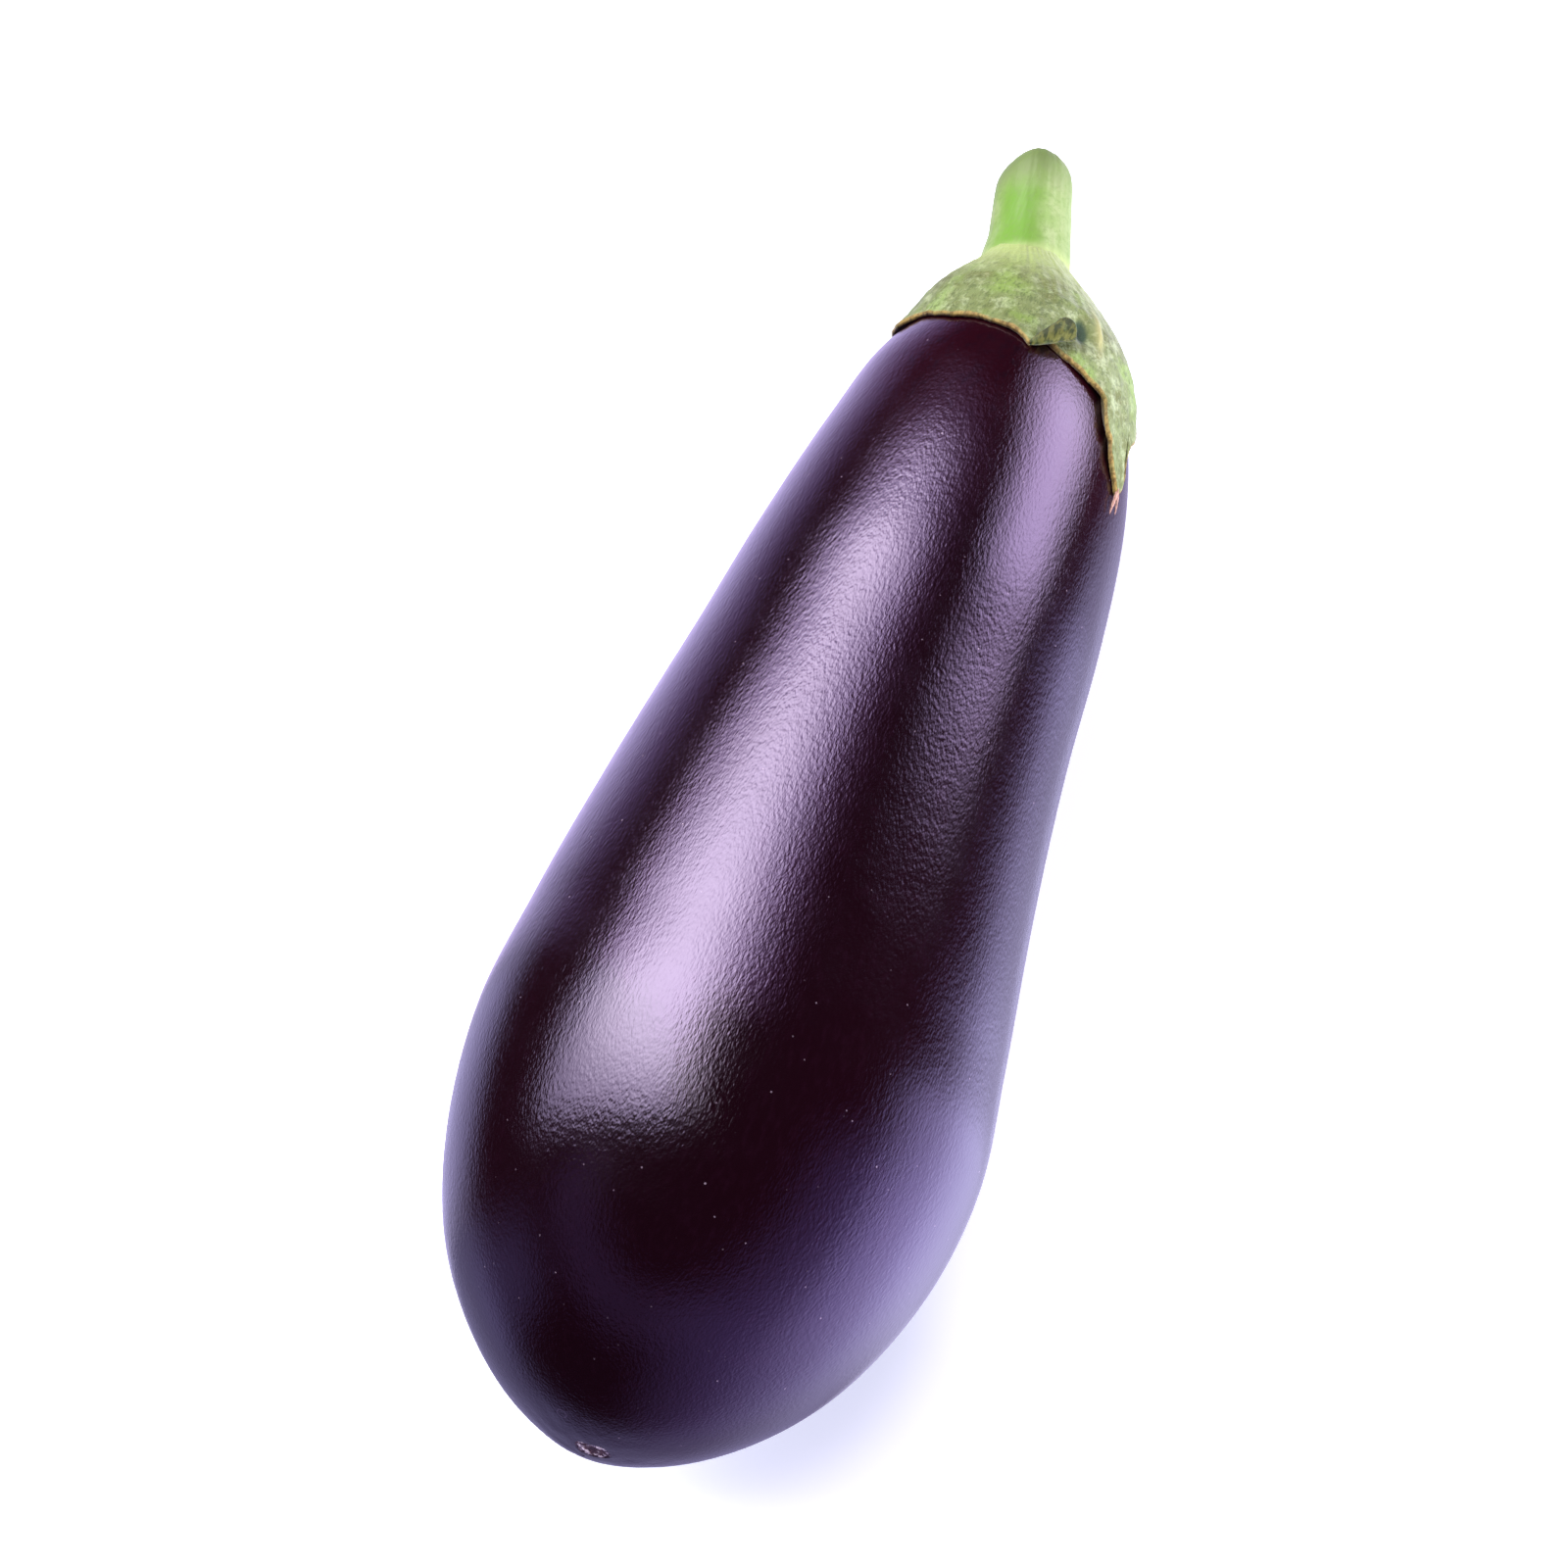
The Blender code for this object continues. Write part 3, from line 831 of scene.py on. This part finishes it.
def calyx_material(settings):
    made, graph, surface = new_material("calyx_felt", (
        ("Roughness", 0.62), ("Specular IOR Level", 0.3),
        ("Sheen Weight", 0.20), ("Sheen Roughness", 0.45),
    ))
    place = graph.object_place()
    grain = graph.object_place((1.0, 0.5, 1.0))
    edge = graph.attribute("from_edge")
    patches = graph.noise(place, 170.0, 4.0, 0.6, 0.5)
    fuzz = graph.noise(grain, 1300.0, 3.0, 0.7)
    pale = graph.noise(place, 300.0, 5.0, 0.72)
    lime = graph.noise(place, 110.0, 2.0)
    specks = graph.noise(place, 900.0, 3.0, 0.6)
    colour = graph.turn(OLIVE, settings.colour, patches, 0.36, 0.58)
    colour = graph.turn(colour, SAGE, pale, 0.50, 0.64)
    colour = graph.turn(colour, LIME, lime, 0.50, 0.66, 0.7)
    # Next to the stem the felt is yellower and paler.
    collar = graph.attribute("collar")
    colour = graph.mix(graph.times(collar, 0.85), colour, NECK_GREEN)
    plain = graph.minus(1.0, graph.times(collar, 0.8))
    colour = graph.turn(colour, FUZZ_SHADE, fuzz, 0.48, 0.64, graph.times(plain, 0.60))
    colour = graph.turn(colour, SPECK, specks, 0.52, 0.70, graph.times(plain, 0.38))
    wander = graph.times(graph.noise(place, 420.0, 2.0), 0.0012)
    dry = graph.fade(graph.minus(edge, wander), -0.0006, 0.0)
    colour = graph.mix(dry, colour, graph.turn(settings.margin_colour, MARGIN_SHADE, fuzz, 0.35, 0.65))
    colour = graph.mix(graph.attribute("under"), colour, UNDERSIDE)
    colour = graph.mix(graph.times(graph.attribute("ridge"), 0.8), colour, RIDGE)
    # Painted shade: dark green in the dent by the roll's open end.
    colour = graph.turn(colour, HOLLOW_SHADE, graph.attribute("hollow"), 0.18, 0.60)
    # The rolled tip: olive gold outside with dark lines along it; inside, deep green darkened as painted
    # shade within the cone.
    lines = graph.noise(graph.object_place((2.2, 0.7, 1.0)), 620.0, 2.0, 0.6)
    rolled = graph.turn(*ROLL_OUTSIDE, lines, 0.42, 0.60)
    rolled = graph.turn(rolled, ROLL_PALE, pale, 0.54, 0.72)
    rolled = graph.mix(graph.attribute("dark"), rolled, ROLL_INSIDE_SHADE)
    colour = graph.mix(graph.attribute("roll"), colour, rolled)
    colour = graph.mix(graph.attribute("dry"), colour, graph.turn(*THREAD, fuzz, 0.35, 0.65))
    graph.set(surface["Base Color"], colour)
    height = graph.plus(fuzz, graph.times(pale, 0.9))
    graph.set(surface["Normal"], graph.bump(height, 0.00022))
    return made


class EGGPLANT_OT_calyx(bpy.types.Operator):
    """Make the calyx: a thin fleshy cap with sepals that hug the fruit's shoulder"""

    bl_idname = "eggplant.calyx"
    bl_label = "Calyx"

    def execute(self, context):
        settings = context.scene.eggplant_calyx
        bm = make_calyx_mesh(settings, context.scene.eggplant_stem.radius)
        finish_piece("calyx_sepals", bm, calyx_material(settings), "calyx")
        return {"FINISHED"}


# -------- the stem


STEM_BLOTCH = (0.300, 0.370, 0.170)
STEM_VIVID = (0.112, 0.262, 0.014)
STEM_TOP = (0.120, 0.175, 0.050)
# painted light: the stem's right side is paler, as if lit from there
STEM_RIGHT_PAINTED_LIGHT = (0.220, 0.285, 0.115)
STEM_FIBRE = (0.320, 0.400, 0.200)
STEM_GRAIN = (0.130, 0.220, 0.045)

STEM_SEGMENTS = 168
STEM_ROWS = 116
CUT_SHARE = 0.26            # of the rows over the cut face
ROUND_SHARE = 0.14          # and over its rounded edge
CUT_ROUNDING = 0.0030       # how far the rounded edge reaches in from the side
CUT_FALL = 0.0045           # and how far it reaches down
CUT_LEAN = 0.17             # the cut's edge is higher on the right
STEM_START = -0.0060        # the stem is rooted this far inside the calyx


def stem_radius(height, base):
    """The stem's radius at that height, by the radius at its base."""
    share = (height - STEM_START) / (STEM_LENGTH - STEM_START)
    return base * (1.0 - 0.055 * share - 0.075 * share * share)


def make_stem_mesh(settings):
    """A tapering stalk with faint ribs, cut off at a slant."""
    bm = bmesh.new()
    cut_layer = bm.verts.layers.float.new("cut")
    station_layer = bm.verts.layers.float.new("station")
    round_layer = bm.verts.layers.float.new("round")
    along, right, up = stem_axis()

    def place(vert, u, v):
        angle = u * tau
        across = right * sin(angle) + up * cos(angle)
        rib = 0.012 * cos(5 * angle + 0.6) + 0.010 * noise_at(sin(angle), cos(angle), 0.1, 2.6)
        # The height at which this line down the stem meets the cut, for each metre out from the axis.
        slope = tan(CUT_SLANT) * cos(angle) + CUT_LEAN * sin(angle)
        radius = stem_radius(STEM_LENGTH, settings.radius) * (1.0 + rib)
        top = STEM_LENGTH + slope * (radius - CUT_ROUNDING)
        if v >= CUT_SHARE + ROUND_SHARE:
            share = 1.0 - (v - CUT_SHARE - ROUND_SHARE) / (1.0 - CUT_SHARE - ROUND_SHARE)
            height = between(STEM_START, top - CUT_FALL, share)
            radius = stem_radius(height, settings.radius) * (1.0 + rib) + stem_foot(height, angle)
            if v == 1.0:
                radius = 0.0
        elif v >= CUT_SHARE:
            turn = (CUT_SHARE + ROUND_SHARE - v) / ROUND_SHARE * pi / 2
            height = top - CUT_FALL * (1 - sin(turn))
            radius = stem_radius(height, settings.radius) * (1.0 + rib) - CUT_ROUNDING * (1 - cos(turn))
        else:
            radius = (radius - CUT_ROUNDING) * v / CUT_SHARE
            height = STEM_LENGTH + slope * radius - 0.0004 * (1 - v / CUT_SHARE)
            height += 0.00022 * noise.noise((across * radius + along * height) * 900.0)
            vert[cut_layer] = 1.0
        fibre = noise_at(sin(angle) * 9.0, cos(angle) * 9.0, height * 60.0)
        radius += 0.00009 * fibre * min(1.0, radius / 0.003)
        vert[station_layer] = height
        vert[round_layer] = angle if angle < pi else angle - tau
        return STEM_BASE + along * height + across * radius

    mapped_grid(bm, STEM_SEGMENTS, STEM_ROWS, place)
    return bm


def stem_material(settings):
    made, graph, surface = new_material("stem_green", (
        ("Roughness", 0.55), ("Specular IOR Level", 0.3), ("Sheen Weight", 0.1),
    ))
    place = graph.object_place()
    fibres = graph.noise(graph.object_place((1.0, 0.10, 1.0)), 900.0, 3.0, 0.6)
    station = graph.attribute("station")
    around = graph.attribute("round")
    blotch = graph.noise(place, 260.0, 3.0, 0.6)
    colour = graph.turn(settings.colour, STEM_BLOTCH, blotch, 0.35, 0.70)
    vivid = graph.times(graph.smooth(station, -0.0008, 0.0020), graph.fade(station, 0.0110, 0.0190))
    facing = graph.fade(graph.math("ABSOLUTE", graph.plus(around, 0.42)), 0.15, 0.95)
    colour = graph.mix(graph.times(vivid, facing), colour, STEM_VIVID)
    top = graph.plus(station, graph.times(blotch, 0.006))
    colour = graph.turn(colour, STEM_TOP, top, 0.0145, 0.0235)
    # Painted light: the right side turns paler, as if lit from that side.
    colour = graph.turn(colour, STEM_RIGHT_PAINTED_LIGHT, around, 0.20, 0.90, 0.5)
    colour = graph.turn(colour, STEM_FIBRE, fibres, 0.50, 0.75, 0.2)
    colour = graph.turn(colour, STEM_GRAIN, graph.noise(place, 1000.0, 3.0, 0.6), 0.48, 0.64, 0.40)
    join = graph.fade(station, -0.0004, 0.0026)
    colour = graph.mix(graph.times(join, 0.85), colour, NECK_GREEN)
    colour = graph.mix(graph.attribute("cut"), colour, settings.cut_colour)
    graph.set(surface["Base Color"], colour)
    height = graph.plus(fibres, graph.times(blotch, 0.6))
    graph.set(surface["Normal"], graph.bump(height, 0.00012))
    return made


class EGGPLANT_OT_stem(bpy.types.Operator):
    """Make the short stem with its slanted cut"""

    bl_idname = "eggplant.stem"
    bl_label = "Stem"

    def execute(self, context):
        settings = context.scene.eggplant_stem
        finish_piece("stem_stalk", make_stem_mesh(settings), stem_material(settings), "stem")
        return {"FINISHED"}


# -------- the stage


# Softboxes in a dark studio. Each is a patch of the surroundings, bounded by straight edges in azimuth
# (from +Y towards +X) and elevation, both in degrees: an edge (a, b, c, soft) keeps the side where
# a * azimuth + b * elevation > c, and fades over that many degrees. Those below the horizon stand for
# what the pale floor throws back.
SOFTBOXES = (
    ("key", (0.93, 0.90, 1.06), 3.1,
     ((1, 0, -99, 6), (0, 1, 10, 12), (-0.8, 1, 52.5, 7), (-1, 0, 0, 30), (-0.28, -1, -46, 10))),
    ("key core", (1.03, 1.08, 0.92), 9.0,
     ((1, 0, -85, 38), (0, 1, 23.5, 28), (-0.8, 1, 59, 9), (-1, 0, 27, 42), (-0.28, -1, -48.5, 44))),
    ("key halo", (1.05, 0.68, 1.09), 1.3,
     ((1, 0, -66, 6), (0, 1, 6, 14), (-0.8, 1, 50, 40), (-1, 0, -15, 46), (-0.28, -1, -54, 22))),
    ("side light", (0.66, 0.65, 1.02), 3.1,
     ((1, 0, 65, 16), (-1, 0, -121, 60), (0, -1, -8, 38), (0, 1, -56, 48))),
    ("side glow", (0.49, 0.43, 1.00), 0.82,
     ((1, 0, 82, 24), (-1, 0, -157, 52), (0, -1, -36, 40), (0, 1, -31, 40))),
    ("right floor", (0.63, 0.63, 0.96), 1.2,
     ((1, -0.25, 62, 10), (-1, 0, -106, 24), (0, -1, 20, 20))),
    ("floor", (0.63, 0.62, 0.98), 0.92,
     ((0, -1, 33, 26), (-1, 0, -50, 16))),
    ("left floor", (0.65, 0.51, 0.99), 0.85,
     ((0, -1, 15, 24), (1, 0, -69, 12), (-1, 0, 30, 10))),
    ("left rim", (0.60, 0.55, 1.05), 0.45,
     ((0, -1, 34, 12), (1, 0, -104, 10), (-1, 0, 76, 10))),
    ("front floor", (0.57, 0.58, 1.04), 0.56,
     ((0, -1, 24, 26), (1, 0, 111, 24))),
    ("front band", (0.52, 0.49, 1.02), 0.42,
     ((1, 0, 221, 16), (-1, 0, -244, 20), (0, -1, -10, 24), (0, 1, -38, 24))),
    ("front haze", (0.60, 0.46, 1.00), 0.27,
     ((0, 1, 24, 16), (0, -1, -43, 16), (1, 0, 150, 30))),
)
AZIMUTH_RANGE = (250.0, -110.0)   # the seam of the azimuths lies in a dark stretch
DARK = (0.060, 0.022, 0.042)      # what is left between the softboxes
# A soft lamp on the right that only lights what is matt.
FILL_PLACE = Vector((0.98, -0.15, 0.08))
FILL_WATTS = 31.0

# A tall reflector card stands close behind the neck, to its right.
CARD_NECK = Vector((0.0, 0.06, 0.05))
CARD_AZIMUTH = radians(23)
CARD_ELEVATION = radians(12.5)
CARD_DISTANCE = 0.17
CARD_TWIST = radians(-39)
CARD_OFFSET = (0.038, 0.0485)     # sideways, upwards
CARD_HALF = (0.059, 0.0715)       # half its width and height, where it has faded to a half
CARD_SOFT = (0.051, 0.035)
CARD_TINT = (7.2, 6.5, 8.0)

FLOOR = (0.83, 0.83, 0.92)
FLOOR_GLOW_AND_SHADOW = ((0.33, 0.37, 0.46), (0.62, 0.64, 0.72))  # painted shadow close to the fruit, and the plain glow away from it
# A painted shadow: the glow is dimmer round these two places along the floor, within these radii.
SHADE_ENDS = (-0.082, 0.080)
SHADE_RADII = (0.043, 0.010)
CONTACT_STRETCH = (1.0, 0.35, 1.0)
CONTACT_REACH = (0.022, 0.036)    # a painted contact shadow: the dark patch that the fruit sits on, as its skin reflects it
CONTACT_SHADE = (0.05, 0.04, 0.06)

CAMERA_TARGET = Vector((-0.0102, -0.0060, 0.0400))


def make_floor():
    """A plain pale floor, with a painted shadow where its glow dims round the fruit. Reflections pass
    through it to the softboxes, but for the contact patch, a painted shadow.
    """
    bm = bmesh.new()
    bmesh.ops.create_circle(bm, cap_ends=True, segments=96, radius=4.0)
    bmesh.ops.recalc_face_normals(bm, faces=bm.faces)
    made, graph, surface = new_material("pale_floor", (
        ("Base Color", (*FLOOR, 1.0)), ("Roughness", 0.9), ("Specular IOR Level", 0.0),
        ("Emission Strength", 1.0),
    ))
    read = graph.node("ShaderNodeTexCoord").outputs["Object"]
    # A painted shadow: the glow is dimmer close round the fruit's wide end, where it meets the floor.
    place = graph.node("ShaderNodeSeparateXYZ", {"Vector": read})
    along = place.outputs[1]
    beside = graph.minus(along, graph.scale(along, *SHADE_ENDS, *SHADE_ENDS))
    squares = (graph.math("POWER", value, 2.0) for value in (place.outputs[0], beside))
    away = graph.math("SQRT", graph.plus(*squares))
    away = graph.minus(away, graph.scale(along, *SHADE_ENDS, *SHADE_RADII))
    graph.set(surface["Emission Color"], graph.turn(*FLOOR_GLOW_AND_SHADOW, away, -0.006, 0.009))
    # Painted contact shadow: rays other than the camera's see a dark patch where the fruit sits.
    stretched = graph.node("ShaderNodeMapping", {"Vector": read, "Scale": CONTACT_STRETCH})
    contact = graph.smooth(graph.near(stretched.outputs[0], (0.0, 0.0, 0.0)), *CONTACT_REACH)
    shade = graph.node("ShaderNodeBsdfDiffuse", {"Color": (*CONTACT_SHADE, 1.0)}).outputs[0]
    clear = graph.node("ShaderNodeBsdfTransparent").outputs[0]
    under = graph.node("ShaderNodeMixShader", {0: contact, 1: shade, 2: clear}).outputs[0]
    seen = graph.node("ShaderNodeLightPath").outputs["Is Camera Ray"]
    plain = made.node_tree.nodes["Principled BSDF"].outputs[0]
    set_surface(made, graph.node("ShaderNodeMixShader", {0: seen, 1: under, 2: plain}))
    floor = add_mesh("floor", bm, made)


def make_card():
    """The reflector card: a soft-edged glow that only the gloss shows."""
    a, e = CARD_AZIMUTH, CARD_ELEVATION
    way = Vector((sin(a) * cos(e), cos(a) * cos(e), sin(e)))
    side = way.cross(Vector((0, 0, 1))).normalized()
    side = Matrix.Rotation(-CARD_TWIST, 3, way) @ side
    up = side.cross(way)
    bm = bmesh.new()
    bmesh.ops.create_grid(bm, x_segments=1, y_segments=1, size=1.0)
    for vert in bm.verts:
        vert.co.x *= CARD_HALF[0] + CARD_SOFT[0]
        vert.co.y *= CARD_HALF[1] + CARD_SOFT[1]
    made, graph, _ = new_material("card_glow")
    read = graph.node("ShaderNodeTexCoord").outputs["Object"]
    place = graph.node("ShaderNodeSeparateXYZ", {"Vector": read})
    level = 1.0
    for axis in (0, 1):
        off = graph.math("ABSOLUTE", place.outputs[axis])
        half, soft = CARD_HALF[axis], CARD_SOFT[axis]
        level = graph.times(level, graph.fade(off, half - soft, half + soft))
    glow = graph.node("ShaderNodeEmission", {"Color": (*CARD_TINT, 1.0), "Strength": level})
    set_surface(made, glow)
    card = add_mesh("card", bm, made)
    middle = CARD_NECK + way * CARD_DISTANCE + side * CARD_OFFSET[0] + up * CARD_OFFSET[1]
    card.matrix_world = Matrix((
        (side.x, up.x, -way.x, middle.x), (side.y, up.y, -way.y, middle.y),
        (side.z, up.z, -way.z, middle.z), (0, 0, 0, 1),
    ))
    card.visible_camera = card.visible_diffuse = card.visible_shadow = False


def make_fill():
    """A soft lamp low on the right, which only lights what is matt: the gloss doesn't show it."""
    lamp = bpy.data.lights.new("fill", "AREA")
    lamp.shape = "DISK"
    lamp.size = 0.6
    lamp.energy = FILL_WATTS
    fill = add_object("fill", lamp)
    fill.location = FILL_PLACE
    fill.rotation_euler = FILL_PLACE.to_track_quat("Z", "Y").to_euler()
    fill.visible_camera = fill.visible_glossy = False


def make_studio(settings):
    """The surroundings: dark, with softboxes. What the camera itself sees behind the floor is pale."""
    world = bpy.data.worlds.new("studio")
    bpy.context.scene.world = world
    world.use_nodes = True
    graph = Graph(world.node_tree)
    way = graph.node("ShaderNodeTexCoord").outputs["Generated"]
    parts = graph.node("ShaderNodeSeparateXYZ", {"Vector": way})
    azimuth = graph.times(graph.math("ARCTAN2", parts.outputs[0], parts.outputs[1]), 180 / pi)
    high, low = AZIMUTH_RANGE
    azimuth = graph.node("ShaderNodeMath", {0: azimuth, 1: high, 2: low}, operation="WRAP").outputs[0]
    elevation = graph.times(graph.math("ARCSINE", parts.outputs[2]), 180 / pi)
    glow = DARK
    for _, tint, strength, edges in SOFTBOXES:
        level = strength * settings.light
        for a, b, c, soft in edges:
            reach = graph.plus(graph.times(azimuth, a), graph.times(elevation, b))
            level = graph.times(level, graph.smooth(reach, c - soft / 2, c + soft / 2))
        box = graph.node("ShaderNodeVectorMath", {0: tint, "Scale": level}, operation="SCALE").outputs[0]
        glow = graph.node("ShaderNodeVectorMath", {0: glow, 1: box}, operation="ADD").outputs[0]
    seen = graph.node("ShaderNodeLightPath").outputs["Is Camera Ray"]
    colour = graph.mix(seen, glow, (1.0, 1.0, 1.0))
    graph.set(world.node_tree.nodes["Background"].inputs["Color"], colour)


def make_camera(settings):
    a, e = settings.azimuth, settings.elevation
    back = Vector((sin(a) * cos(e), -cos(a) * cos(e), sin(e)))
    lens = bpy.data.cameras.new("camera")
    lens.lens = settings.lens
    lens.sensor_width = 36.0
    lens.clip_start = 0.01
    camera = add_object("camera", lens)
    camera.location = CAMERA_TARGET + back * settings.distance
    camera.rotation_euler = back.to_track_quat("Z", "Y").to_euler()
    bpy.context.scene.camera = camera


class EGGPLANT_OT_stage(bpy.types.Operator):
    """Make the floor, the soft light and the camera"""

    bl_idname = "eggplant.stage"
    bl_label = "Stage"

    def execute(self, context):
        settings = context.scene.eggplant_stage
        make_floor()
        make_card()
        make_fill()
        make_studio(settings)
        make_camera(settings)
        context.scene.view_settings.view_transform = "Standard"
        return {"FINISHED"}


# -------- the add-on


class EGGPLANT_PT_panel(bpy.types.Panel):
    """Lists the eggplant's pieces"""

    bl_idname = "EGGPLANT_PT_panel"
    bl_label = "Eggplant"
    bl_space_type = "VIEW_3D"
    bl_region_type = "UI"
    bl_category = "Eggplant"

    def draw(self, context):
        for group, operator in GROUPS:
            box = self.layout.box()
            box.operator(operator)
            values = getattr(context.scene, group)
            for name in type(values).__annotations__:
                box.prop(values, name)


GROUPS = (
    ("eggplant_skin", "eggplant.fruit"),
    ("eggplant_calyx", "eggplant.calyx"),
    ("eggplant_stem", "eggplant.stem"),
    ("eggplant_stage", "eggplant.stage"),
)
SETTINGS = (SkinSettings, CalyxSettings, StemSettings, StageSettings)
CLASSES = SETTINGS + (
    EGGPLANT_OT_fruit, EGGPLANT_OT_calyx, EGGPLANT_OT_stem, EGGPLANT_OT_stage, EGGPLANT_PT_panel,
)


def register():
    for cls in CLASSES:
        bpy.utils.register_class(cls)
    for (group, _), cls in zip(GROUPS, SETTINGS):
        setattr(bpy.types.Scene, group, PointerProperty(type=cls))


def unregister():
    for group, _ in GROUPS:
        delattr(bpy.types.Scene, group)
    for cls in reversed(CLASSES):
        bpy.utils.unregister_class(cls)


def main():
    register()
    bpy.ops.eggplant.stage()
    bpy.ops.eggplant.fruit()
    bpy.ops.eggplant.calyx()
    bpy.ops.eggplant.stem()


if __name__ == "__main__":
    main()
